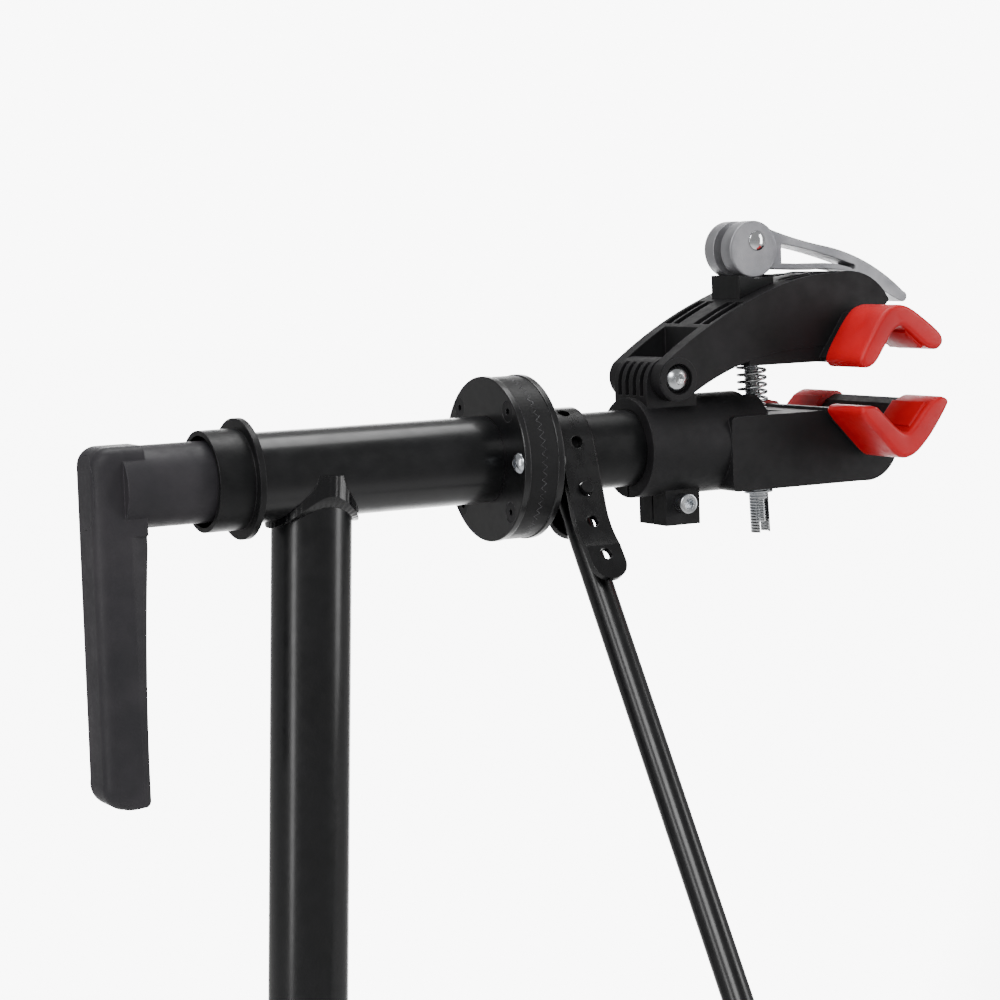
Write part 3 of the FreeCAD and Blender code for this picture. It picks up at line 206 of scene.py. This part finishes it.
def drawn_lines(direction, spacing_mm, depth_mm):
    """A relief of long fine lines along a direction, left by drawing or brushing."""
    def add(tree, place, normal):
        squeeze = [1 - LINE_STRETCH * abs(part) for part in direction]
        stretched = add_node(tree, "ShaderNodeMapping", inputs={"Vector": place, "Scale": squeeze})
        lines = noise(tree, stretched.outputs["Vector"], spacing_mm, LINE_DETAIL)
        return relief(tree, lines, depth_mm, normal)
    return add


WELD_COINS = 46
COIN_DEPTH_MM = 0.06
WAVER_MM, WAVER_SHARE = 5.0, 2.5


def weld_ripples(tree, place, normal):
    """The stacked-coin ripples of a weld bead that runs round the mast."""
    parts = add_node(tree, "ShaderNodeSeparateXYZ", inputs={"Vector": place})
    angle = math_node(tree, "ARCTAN2", parts.outputs["Y"], parts.outputs["X"])
    waver = math_node(tree, "MULTIPLY", noise(tree, place, WAVER_MM), WAVER_SHARE)
    turns = math_node(tree, "MULTIPLY", angle, WELD_COINS)
    coins = math_node(tree, "SINE", math_node(tree, "ADD", turns, waver))
    return relief(tree, coins, COIN_DEPTH_MM, normal)


# %% [markdown]
# ## The finishes of the stand
# The tubes wear a black stoving enamel: nearly black, smooth, with a clear top layer and the faintest
# orange peel. The jaws are glass-filled nylon, so they are matt with a grain of a few tenths of a
# millimetre. The caps are a soft elastomer that lets a little light in, which warms their red. Bolts,
# spring and stud are zinc plated; the lever is a blasted die casting.
# Threads and brushed lines follow the stud and the rod, so those two directions are worked out first.

# %% Directions of the arm, the stud and the rod
ARM_TILT = math.radians(3)
ARM_HEIGHT = 1.1
ROD_SWING = math.radians(31.9)
arm_axis = Vector((math.cos(ARM_TILT), 0, math.sin(ARM_TILT)))
arm_up = Vector((-math.sin(ARM_TILT), 0, math.cos(ARM_TILT)))
# Where the stud meets the lever's pin and where it rocks in the lower jaw, along and above the arm in mm.
PIN, SWIVEL = (246.0, 100.5), (251.2, -26.0)
STUD_LEAN = math.atan2(SWIVEL[0] - PIN[0], PIN[1] - SWIVEL[1])
stud_axis = arm_up * math.cos(STUD_LEAN) - arm_axis * math.sin(STUD_LEAN)
rod_axis = Vector((0.0, -math.sin(ROD_SWING), 0.0)) - arm_up * math.cos(ROD_SWING)
print("stud leans", round(math.degrees(STUD_LEAN), 2), "degrees")

# %% Materials
WORN_PAINT = "#6A6A6E"
CLEAR_COAT = dark({"Coat Weight": 0.4, "Coat Roughness": 0.2})
BARE_METAL = {"Metallic": 1.0}

# Wet-looking black tube paint: the long soft highlights come from here.
enamel = surface("black_enamel", ("#050506", "#08080A"), (0.30, 0.42), [(4.0, 0.010), (0.6, 0.0015)],
                 worn=WORN_PAINT, wear=0.35, fixed=CLEAR_COAT)
# The same paint with less gloss, on the tube that turns in the workshop's dust.
satin_paint = surface("satin_black_paint", ("#070708", "#0B0B0C"), (0.32, 0.44),
                      [(3.0, 0.012), (0.35, 0.003)], worn=WORN_PAINT, wear=0.35, fixed=dark())
# Enamel that flowed over a weld: glossier, over shallow ripples.
welded = surface("enamelled_weld", ("#050506", "#08080A"), (0.20, 0.30), [(0.8, 0.01)],
                 fixed=CLEAR_COAT, extra=weld_ripples)
# Powder coat of the base: a soft pebbled satin.
powder = surface("powder_coat", ("#131315", "#19191B"), (0.36, 0.50), [(1.6, 0.035), (0.4, 0.006)],
                 worn=WORN_PAINT, wear=0.4, fixed=dark())
# Toothed rings: satin black casting with a dry grain, its tooth edges rubbed bright.
ring_casting = surface("black_ring_casting", ("#0B0B0C", "#111112"), (0.40, 0.54),
                       [(0.9, 0.02), (0.25, 0.008)], edge_mm=0.3, worn="#808084", wear=0.9,
                       fixed=dark())
# Zinc plate: bright, slightly cool, with smears and tiny pits.
zinc = surface("bright_zinc", ("#A9AEB5", "#C2C3C3"), (0.16, 0.34), [(1.2, 0.006), (0.2, 0.002)],
               edge_mm=0.35, fixed=BARE_METAL)
# The rolled stud and sleeve: the same zinc with thread turns round it.
threaded_zinc = surface("threaded_zinc", ("#A2A7AE", "#BCBDBD"), (0.20, 0.36), [(0.4, 0.004)],
                        edge_mm=0.3, fixed=BARE_METAL, extra=ridges(stud_axis, 1.5, 0.5))
# Turned and polished pin: almost a mirror.
polished = surface("polished_steel", ("#CDD0D4", "#D8D8D8"), (0.07, 0.16), [(1.5, 0.002)],
                   edge_mm=0.3, fixed=BARE_METAL)
# Brushed tube of the telescoping rod.
drawn_steel = surface("drawn_steel", ("#A9ADB2", "#C2C4C6"), (0.22, 0.36), [(0.5, 0.002)],
                      fixed={**BARE_METAL, "Anisotropic": 0.4},
                      extra=drawn_lines(rod_axis, 0.3, 0.006))
# Black oxide on the sunk screws: dark, oily and dull.
oxide = surface("black_oxide", ("#0E0E10", "#18171A"), (0.28, 0.42), [(0.5, 0.006)], edge_mm=0.25,
                worn="#707074", wear=0.6, fixed={"Metallic": 0.5})
# Natural nylon washers and bushes: milky.
nylon = surface("natural_nylon", ("#CFCDC2", "#DDDBD2"), (0.40, 0.55), [(0.8, 0.01)],
                fixed={"Subsurface Weight": 0.2, "Subsurface Scale": 2 * MM})
# Jaws: matt charcoal with the mould's fine grain.
moulded = surface("moulded_nylon", ("#0D0D0E", "#141315"), (0.50, 0.64), [(0.45, 0.030), (0.18, 0.010)],
                  edge_mm=0.6, worn="#48484C", wear=0.35, fixed=dark())
# Smooth black moulding of bush, plugs and collars.
smooth_moulded = surface("smooth_moulding", ("#0A0A0B", "#101011"), (0.36, 0.50),
                         [(0.6, 0.012), (0.2, 0.004)], edge_mm=0.6, worn="#3C3C40", wear=0.3,
                         fixed=dark())
# Handle: a dark warm grey, finer grained and a little softer in the light.
handle_plastic = surface("handle_plastic", ("#242326", "#2E2C2F"), (0.46, 0.60),
                         [(0.38, 0.024), (0.16, 0.008)], edge_mm=0.7, worn="#565459", wear=0.4,
                         fixed=dark())
# Foot rubber: dull, dusty.
foot_rubber = surface("foot_rubber", ("#151515", "#232322"), (0.66, 0.85), [(0.7, 0.04)], edge_mm=1.0,
                      worn="#3E3D3B", wear=0.5, fixed=dark())
# Strap rubber: smooth from a polished mould, so it shines on every bend.
strap_rubber = surface("strap_rubber", ("#0A0A0B", "#101011"), (0.22, 0.34), [(2.5, 0.02), (0.3, 0.002)],
                       edge_mm=0.9, fixed=dark({"Coat Weight": 0.2, "Coat Roughness": 0.16}))
# Soft caps: a clean signal red with a satin skin.
soft_red = surface("soft_red_elastomer", ("#A8000C", "#B60410"), (0.40, 0.52), [(0.5, 0.010), (5.0, 0.03)],
                   edge_mm=0.8, fixed={"Subsurface Weight": 0.12, "Subsurface Scale": 2.5 * MM,
                                       "Subsurface Radius": (1.0, 0.12, 0.08),
                                       "Specular IOR Level": 0.3})
# Lever: blasted die casting, a mid grey with a sandy grain.
casting = surface("blasted_casting", ("#77777B", "#98989B"), (0.40, 0.55), [(0.7, 0.060), (0.3, 0.020)],
                  edge_mm=0.8, fixed={"Metallic": 0.8})

SLOT_FINISH = {
    "powder_black": powder, "gloss_black": enamel, "ring_black": ring_casting, "bright_steel": zinc,
    "cam_pin_steel": polished, "black_oxide": oxide, "nylon_white": nylon, "moulded_black": moulded,
    "handle_grey": handle_plastic, "rubber_black": foot_rubber, "strap_rubber": strap_rubber,
    "soft_red": soft_red, "cast_silver": casting, "inner_rod_steel": drawn_steel,
}
NODE_FINISH = {
    "clamp_tube": satin_paint, "mast_weld": welded, "stud_sleeve_nut": threaded_zinc,
    "head_end_bush": smooth_moulded, "height_collar": smooth_moulded, "rod_top_plug": smooth_moulded,
    "fixed_beam_plugs": smooth_moulded, "swing_beam_plugs": smooth_moulded,
    "rod_end_cap": smooth_moulded, "rod_lock_sleeve": smooth_moulded, "cam_saddle": smooth_moulded,
}
for node, slot in slot_of.items():
    piece = nodes[node]
    piece.data.materials.clear()
    piece.data.materials.append(NODE_FINISH.get(node, SLOT_FINISH[slot]))
print("finishes:", len(bpy.data.materials), "for", len(slot_of), "pieces")

# %% [markdown]
# ## Building finer pieces
# A finer piece is a stack of closed outlines joined into a skin, the way a pattern maker would loft it.
# Each one hides the CAD node it stands for, and rides on that node's body, so it moves as it should.


# %% Mesh helpers
def on_arm(u, y, w):
    """A point u along, y across and w above the clamp arm, in metres."""
    return arm_axis * (u * MM) + arm_up * (w * MM) + Vector((0, y * MM, ARM_HEIGHT))


def loft(rings):
    """Vertices and faces of a closed skin over a stack of equal rings."""
    count = len(rings[0])
    vertices = [point for ring in rings for point in ring]
    faces = [tuple(range(count)), tuple(range(len(vertices) - count, len(vertices)))]
    for level in range(len(rings) - 1):
        low, high = level * count, (level + 1) * count
        for i in range(count):
            j = (i + 1) % count
            faces.append((low + i, low + j, high + j, high + i))
    return vertices, faces


SHARP_ANGLE = math.radians(35)


def finer_piece(name, skins, node, finish):
    """One mesh object made of closed skins that takes the place of a CAD node."""
    vertices, faces = [], []
    for skin_vertices, skin_faces in skins:
        faces += [tuple(i + len(vertices) for i in face) for face in skin_faces]
        vertices += [tuple(point) for point in skin_vertices]
    mesh = bpy.data.meshes.new(name)
    mesh.from_pydata(vertices, [], faces)
    bm = bmesh.new()
    bm.from_mesh(mesh)
    bmesh.ops.recalc_face_normals(bm, faces=bm.faces)
    bm.to_mesh(mesh)
    bm.free()
    mesh.shade_smooth()
    mesh.set_sharp_from_angle(angle=SHARP_ANGLE)
    mesh.materials.append(finish)
    piece = bpy.data.objects.new(name, mesh)
    bpy.context.scene.collection.objects.link(piece)
    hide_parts(node)
    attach(piece, body_of[node])
    print(name, "vertices:", len(mesh.vertices))


# %% [markdown]
# ## Soft red caps
# Each cap is a thick-walled elastomer boot pushed over the end of a V bar. Its corners are generously
# rounded, its outer end is domed over at the rim, and a raised pad sits on each inner slope of the V
# where the bicycle's tube is held. The outline is drawn along and above the arm; every corner is
# softened by a curve between its two sides, and the outer rim is a few rings that draw in.

# %% Cap sizes
UPPER_V = [(272.5, 40.75), (275.5, 36.05), (279.2, 35.85), (283.5, 38.15), (290.0, 47.35), (293.5, 52.95),
           (298.7, 56.15), (303.9, 53.15), (314.3, 44.35), (321.7, 42.45), (325.9, 46.35),
           (324.1, 51.75), (305.9, 64.85), (297.7, 66.95), (288.5, 63.95)]
LOWER_V = [(273.1, 13.15), (286.8, -0.85), (295.1, -9.45), (301.0, -11.05), (308.0, -8.65),
           (317.5, 0.35), (328.5, 15.35), (327.7, 17.95), (323.1, 19.55), (315.5, 16.35), (305.3, 4.75),
           (301.2, 1.55), (295.1, 5.35), (284.7, 15.35), (281.0, 16.85), (275.3, 16.85)]
CAP_START, CAP_END = 30.0, 60.2
RIM, RIM_STEPS = 2.4, 6
# The open end: how far its lip draws in, then how deep that lip's first step is and what is left there.
INNER_RIM, LIP_STEP, LIP_LEFT = 0.7, 0.2, 0.3
CORNER_SHARE, CORNER_STEPS = 0.42, 5
LEAST_MITRE = 0.5
# Each pad runs between two corners of the outline, along one inner slope of the V.
UPPER_PADS = [(UPPER_V[7], UPPER_V[8]), (UPPER_V[4], UPPER_V[3])]
LOWER_PADS = [(LOWER_V[10], LOWER_V[9]), (LOWER_V[12], LOWER_V[13])]
# A pad's rings as (height above the slope, inset), and its margins from the cap's two ends.
PAD_RINGS = [(-0.6, 0.0), (0.45, 0.0), (0.78, 0.15), (0.9, 0.5)]
PAD_START_MARGIN, PAD_END_MARGIN = 0.4, 3.6
MOUTH = Vector((302.0, 28.0))
print("cap outlines:", len(UPPER_V), "and", len(LOWER_V), "corners")


# %% Soft caps

def drawn_in(outline, distance):
    """The outline's corners moved inward by a distance."""
    moved = []
    for i, here in enumerate(outline):
        before, after = Vector(outline[i - 1]), Vector(outline[(i + 1) % len(outline)])
        here = Vector(here)
        first = (here - before).normalized()
        second = (after - here).normalized()
        normals = [Vector((-side.y, side.x)) for side in (first, second)]
        middle = (normals[0] + normals[1]).normalized()
        moved.append(here + middle * (distance / max(middle.dot(normals[0]), LEAST_MITRE)))
    return moved


def softened(corners):
    """Every corner of a closed outline replaced by a curve between its two sides."""
    points = []
    for i, here in enumerate(corners):
        start = here.lerp(corners[i - 1], CORNER_SHARE)
        end = here.lerp(corners[(i + 1) % len(corners)], CORNER_SHARE)
        for step in range(CORNER_STEPS + 1):
            t = step / CORNER_STEPS
            points.append(start * (1 - t) ** 2 + here * (2 * t * (1 - t)) + end * t ** 2)
    return points


def boot(outline, side):
    """The cap's skin: a small lip at the open end, straight walls and a rounded outer rim."""
    stations = [(CAP_START, INNER_RIM), (CAP_START + LIP_STEP, INNER_RIM * LIP_LEFT),
                (CAP_START + INNER_RIM, 0)]
    for step in range(RIM_STEPS + 1):
        angle = math.pi / 2 * step / RIM_STEPS
        stations.append((CAP_END - RIM + RIM * math.sin(angle), RIM - RIM * math.cos(angle)))
    return loft([
        [on_arm(point.x, side * across, point.y) for point in softened(drawn_in(outline, draw))]
        for across, draw in stations
    ])


def pad(slope, side):
    """A thin raised pad on one inner slope of the V, on the side that faces the mouth."""
    start, end = Vector(slope[0]), Vector(slope[1])
    run = (end - start).normalized()
    out = Vector((-run.y, run.x))
    if out.dot(MOUTH - start) < 0:
        out = -out
    rings = []
    for lift, draw in PAD_RINGS:
        near, far = start + run * draw + out * lift, end - run * draw + out * lift
        low, high = CAP_START + PAD_START_MARGIN + draw, CAP_END - PAD_END_MARGIN - draw
        corners = ((near, low), (far, low), (far, high), (near, high))
        rings.append([on_arm(point.x, side * across, point.y) for point, across in corners])
    return loft(rings)


for jaw, outline, pads in (("upper", UPPER_V, UPPER_PADS), ("lower", LOWER_V, LOWER_PADS)):
    for end, side in (("front", -1), ("rear", 1)):
        node = "%s_cap_%s" % (jaw, end)
        skins = [boot(outline, side)] + [pad(slope, side) for slope in pads]
        finer_piece("soft_" + node, skins, node, soft_red)

# %% [markdown]
# ## Clamp stud
# The stud is an M8 eye bolt with a rolled thread; the lever's cam pulls on its eye. Rolled crests are
# rounded, so the radius follows a softened wave that climbs one pitch per turn. Above the thread the
# shank is milled flat on two sides to pass between the cam discs. The skin is a loft of round rings for
# the thread, a slim octagon for the neck and a chamfered disc for the eye.

# %% Clamp stud
PITCH = 1.25
CREST, ROOT = 3.98, 3.42
CREST_SOFTNESS, END_DEPTH = 0.8, 0.2
THREAD_LOW, THREAD_HIGH = -17.0, 104.0
NECK_OVERLAP = 1
EYE_RADIUS, EYE_CHAMFER, FLAT_HALF = 7.2, 0.5, 3.0
NECK_HALF, NECK_CORNER_ALONG, NECK_CORNER_ACROSS = 3.9, 2.6, 2.0
ROUND_STEPS = 28
STEPS_PER_TURN = 7
REACH = math.hypot(SWIVEL[0] - PIN[0], PIN[1] - SWIVEL[1])
across_arm = Vector((0, 1, 0))
swivel = on_arm(SWIVEL[0], 0, SWIVEL[1])
stud_side = stud_axis.cross(across_arm)


def on_stud(height, radius, angle):
    """A point round the stud's axis, heights in mm from its swivel."""
    outward = stud_side * math.cos(angle) + across_arm * math.sin(angle)
    return swivel + stud_axis * (height * MM) + outward * (radius * MM)


def on_eye(across, radius, angle):
    """A point round the eye's own axis, which crosses the arm."""
    outward = stud_side * math.cos(angle) + stud_axis * math.sin(angle)
    return swivel + stud_axis * (REACH * MM) + across_arm * (across * MM) + outward * (radius * MM)


def thread_radius(height, angle):
    """The rolled profile: a wave that climbs with the turn and fades at both ends."""
    wave = 0.5 + 0.5 * math.cos(math.tau * height / PITCH - angle)
    ends = min(1, (height - THREAD_LOW) / PITCH, (THREAD_HIGH - height) / PITCH)
    return ROOT + (CREST - ROOT) * (wave ** CREST_SOFTNESS * ends + (1 - ends) * END_DEPTH)


angles = [math.tau * i / ROUND_STEPS for i in range(ROUND_STEPS)]
levels = int((THREAD_HIGH - THREAD_LOW) / PITCH * STEPS_PER_TURN)
heights = [THREAD_LOW + (THREAD_HIGH - THREAD_LOW) * i / levels for i in range(levels + 1)]
shank = loft([[on_stud(h, thread_radius(h, a), a) for a in angles] for h in heights])
half_outline = [(NECK_HALF, -NECK_CORNER_ACROSS), (NECK_HALF, NECK_CORNER_ACROSS),
                (NECK_CORNER_ALONG, FLAT_HALF), (-NECK_CORNER_ALONG, FLAT_HALF)]
neck_outline = half_outline + [(-x, -y) for x, y in half_outline]
neck = loft([[swivel + stud_axis * (h * MM) + stud_side * (x * MM) + across_arm * (y * MM)
              for x, y in neck_outline] for h in (THREAD_HIGH - NECK_OVERLAP, REACH)])
eye_rings = [(-FLAT_HALF, EYE_RADIUS - EYE_CHAMFER), (-FLAT_HALF + EYE_CHAMFER, EYE_RADIUS),
             (FLAT_HALF - EYE_CHAMFER, EYE_RADIUS), (FLAT_HALF, EYE_RADIUS - EYE_CHAMFER)]
eye = loft([[on_eye(across, radius, a) for a in angles] for across, radius in eye_rings])
finer_piece("rolled_clamp_stud", [shank, neck, eye], "clamp_stud", zinc)

# %% [markdown]
# ## Camera
# The camera stands in front of the arm's handle end, a little above the arm, and looks along it and
# slightly down through a portrait lens. The axes are worked out from three angles: a turn, a tip and a
# small roll.

# %% Camera
CAMERA = Vector((-0.51942, -1.11677, ARM_HEIGHT + 0.07911))
YAW, PITCH_DOWN, ROLL = math.radians(29.04), math.radians(4.22), math.radians(0.69)
LENS_MM, SENSOR_MM = 94.9, 36


def camera_axes(yaw, pitch, roll):
    """Right, up and forward of a camera turned yaw from +Y toward +X, tipped down, then rolled."""
    forward = Vector((math.sin(yaw) * math.cos(pitch), math.cos(yaw) * math.cos(pitch), -math.sin(pitch)))
    right = Vector((math.cos(yaw), -math.sin(yaw), 0))
    up = right.cross(forward)
    turned_right = right * math.cos(roll) + up * math.sin(roll)
    turned_up = up * math.cos(roll) - right * math.sin(roll)
    return turned_right, turned_up, forward


right, up, forward = camera_axes(YAW, PITCH_DOWN, ROLL)
camera = bpy.data.objects.new("camera", bpy.data.cameras.new("camera"))
bpy.context.scene.collection.objects.link(camera)
camera.matrix_world = Matrix.Translation(CAMERA) @ Matrix((right, up, -forward)).transposed().to_4x4()
camera.data.lens = LENS_MM
camera.data.sensor_width = SENSOR_MM
bpy.context.scene.camera = camera
print("camera lens:", LENS_MM, "mm")

# %% [markdown]
# ## Floor and room
# The floor is a large pale sheet. Behind the stand, floor and room glow like a lit studio backdrop, and
# both glows are matched, so they run together without a horizon. The glow is a narrow lobe in one fixed
# direction: everywhere else the room is dim, which keeps the black paint black. The lobe is measured by
# the cosine of the angle from that direction, and on the floor it also fades in with distance.

# %% Floor and room
ROOM_GLOW, ROOM_SHADE = 9.0, 0.4
FLOOR_GLOW, FLOOR_SHADE = 8.4, 0.05
GLOW_FROM, GLOW_FULL = 0.8, 3.2
FLOOR_REACH = 60
FLOOR_MOTTLE_MM, FLOOR_SMEAR_MM = 900, 40
LOBE_EDGE, LOBE_CORE = 0.9, 0.97
WHITE = (1, 1, 1, 1)
backdrop_way = Vector((math.sin(YAW), math.cos(YAW), 0))
floor_finish, tree, shader, place = blank_material("pale_floor")
mottle = remap(tree, noise(tree, place, FLOOR_MOTTLE_MM, detail=4), 0, 1)
floor_tone = mix_colours(tree, mottle, linear("#E8E8E8"), linear("#ECECEC"))
tree.links.new(floor_tone, shader.inputs["Base Color"])
smear = noise(tree, place, FLOOR_SMEAR_MM, detail=5)
tree.links.new(remap(tree, smear, 0.85, 0.95), shader.inputs["Roughness"])
shader.inputs["Specular IOR Level"].default_value = 0.0
shader.inputs["Emission Color"].default_value = WHITE
ahead = along(tree, place, backdrop_way)
reach = add_node(tree, "ShaderNodeVectorMath", {"operation": "LENGTH"}, {0: place}).outputs["Value"]
bearing = math_node(tree, "DIVIDE", ahead, reach)
lobe = remap(tree, bearing, 0, 1, start=LOBE_EDGE, end=LOBE_CORE)
distance_glow = remap(tree, ahead, 0, FLOOR_GLOW, start=GLOW_FROM, end=GLOW_FULL)
glow = math_node(tree, "MULTIPLY", lobe, distance_glow)
tree.links.new(math_node(tree, "ADD", glow, FLOOR_SHADE), shader.inputs["Emission Strength"])
floor_mesh = bpy.data.meshes.new("floor")
bm = bmesh.new()
bmesh.ops.create_grid(bm, x_segments=2, y_segments=2, size=FLOOR_REACH)
bm.to_mesh(floor_mesh)
bm.free()
floor_mesh.materials.append(floor_finish)
floor = bpy.data.objects.new("floor", floor_mesh)
bpy.context.scene.collection.objects.link(floor)

world = bpy.data.worlds.new("studio")
bpy.context.scene.world = world
world.use_nodes = True
tree = world.node_tree
way = add_node(tree, "ShaderNodeTexCoord").outputs["Generated"]
glow = remap(tree, along(tree, way, backdrop_way), ROOM_SHADE, ROOM_GLOW, start=LOBE_EDGE, end=LOBE_CORE)
tree.links.new(glow, tree.nodes["Background"].inputs["Strength"])
tree.nodes["Background"].inputs["Color"].default_value = WHITE
print("floor half width:", FLOOR_REACH, "m")

# %% [markdown]
# ## Soft boxes
# Four rectangular lights give the long soft highlights: a key above the camera's left, a tall one from
# the right that edges the mast, a tall strip on the far left, and a broad one overhead for the tops of
# the tubes and jaws. Places are metres in the stand's own frame.


# %% Soft boxes
def soft_box(name, place, target, width, height, watts):
    """A rectangular soft box that faces its target."""
    light = bpy.data.lights.new(name, "AREA")
    light.shape = "RECTANGLE"
    light.size, light.size_y, light.energy = width, height, watts
    lamp = bpy.data.objects.new(name, light)
    bpy.context.scene.collection.objects.link(lamp)
    lamp.location = place
    lamp.rotation_euler = (Vector(target) - Vector(place)).to_track_quat("-Z", "Y").to_euler()
    print("soft box:", name, watts, "W")


soft_box("key", place=(-1.0, -1.5, 2.3), target=(0.1, 0, 1.1), width=0.9, height=0.9, watts=32)
soft_box("side", place=(1.7, -1.1, 1.5), target=(0.15, 0, 1.1), width=0.6, height=1.6, watts=22)
soft_box("left_strip", place=(-1.6, -0.5, 1.3), target=(0.0, 0, 1.0), width=0.35, height=1.8, watts=16)
soft_box("top", place=(0.2, 0.3, 2.6), target=(0.15, 0, 1.1), width=1.2, height=0.9, watts=25)
